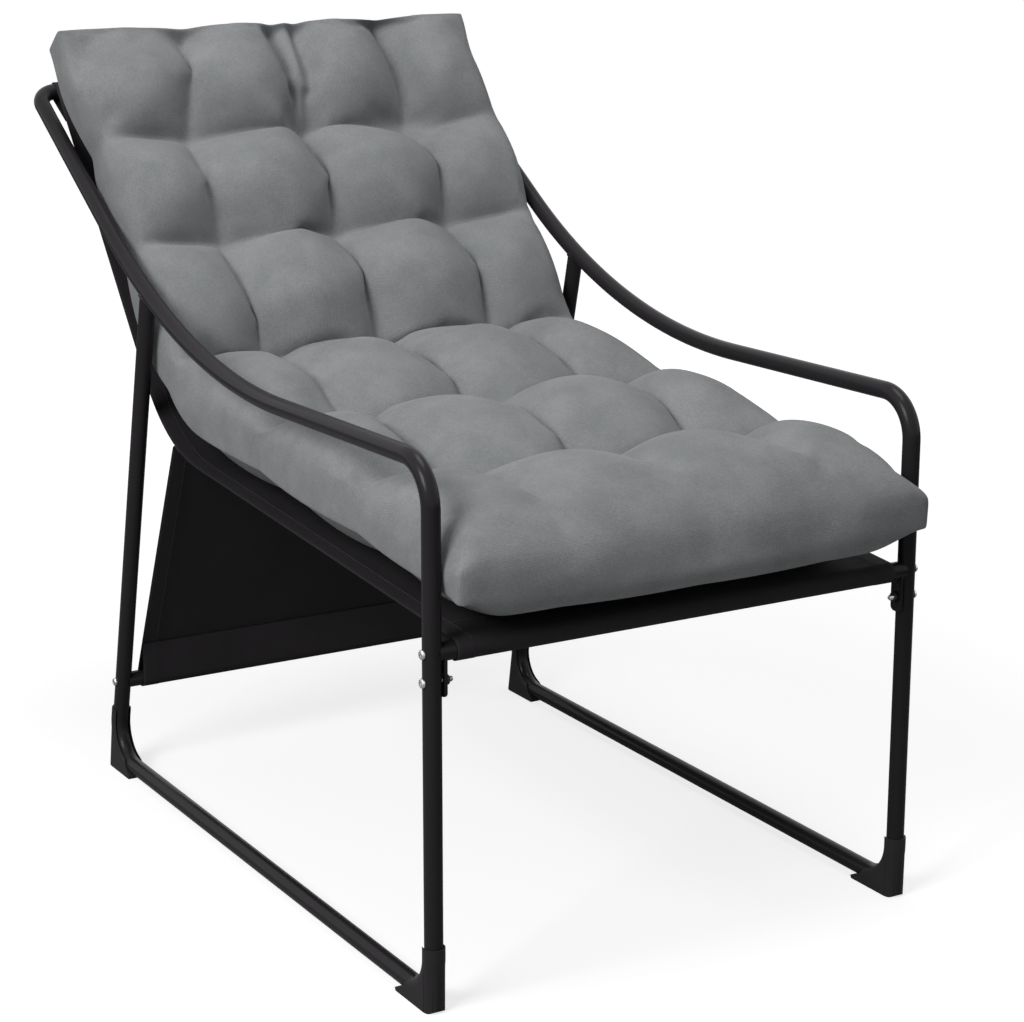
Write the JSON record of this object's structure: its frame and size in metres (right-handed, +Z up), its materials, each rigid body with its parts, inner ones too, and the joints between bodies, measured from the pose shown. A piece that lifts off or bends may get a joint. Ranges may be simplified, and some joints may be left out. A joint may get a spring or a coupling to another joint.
{
  "type": "garden lounge chair",
  "caption": "Low garden lounge chair with a bent steel tube frame, a dark fabric sling and a loose grey tufted pad.",
  "frame": {"origin": "centre of the bounding box on the floor, under the middle of the seat", "axes": "+Z up from the floor; the chair faces -Y, so +Y points to its back; +X is the right side as seen from the front"},
  "size_m": [0.627, 1.1155, 0.9361],
  "materials": {
    "frame_paint": "satin",
    "foot_plastic": "matte",
    "zinc": "satin",
    "black_oxide": "satin",
    "sling_cloth": "matte",
    "pad_cloth": "matte"
  },
  "bodies": {
    "chair_frame": {"sling_panel": "sling_cloth", "tail_panel": "sling_cloth", "top_rail": "frame_paint", "front_rail": "frame_paint", "rear_rail": "frame_paint", "left_arm_tube": "frame_paint", "left_base_tube": "frame_paint", "front_left_foot": "foot_plastic", "rear_left_foot": "foot_plastic", "left_rail_tab": "frame_paint", "left_front_rail_bolt": "zinc", "left_tab_bolt": "zinc", "left_rear_rail_bolt": "zinc", "left_front_rail_insert": "zinc", "left_rear_rail_insert": "zinc", "left_tab_nut": "black_oxide", "right_arm_tube": "frame_paint", "right_base_tube": "frame_paint", "front_right_foot": "foot_plastic", "rear_right_foot": "foot_plastic", "right_rail_tab": "frame_paint", "right_front_rail_bolt": "zinc", "right_tab_bolt": "zinc", "right_rear_rail_bolt": "zinc", "right_front_rail_insert": "zinc", "right_rear_rail_insert": "zinc", "right_tab_nut": "black_oxide"},
    "cushion": {"cushion": "pad_cloth"}
  },
  "joints": [
    {"name": "cushion_lift", "type": "slide", "parent": "chair_frame", "child": "cushion", "axis": [0, 0, 1], "range_m": [0, 0.5]}
  ]
}
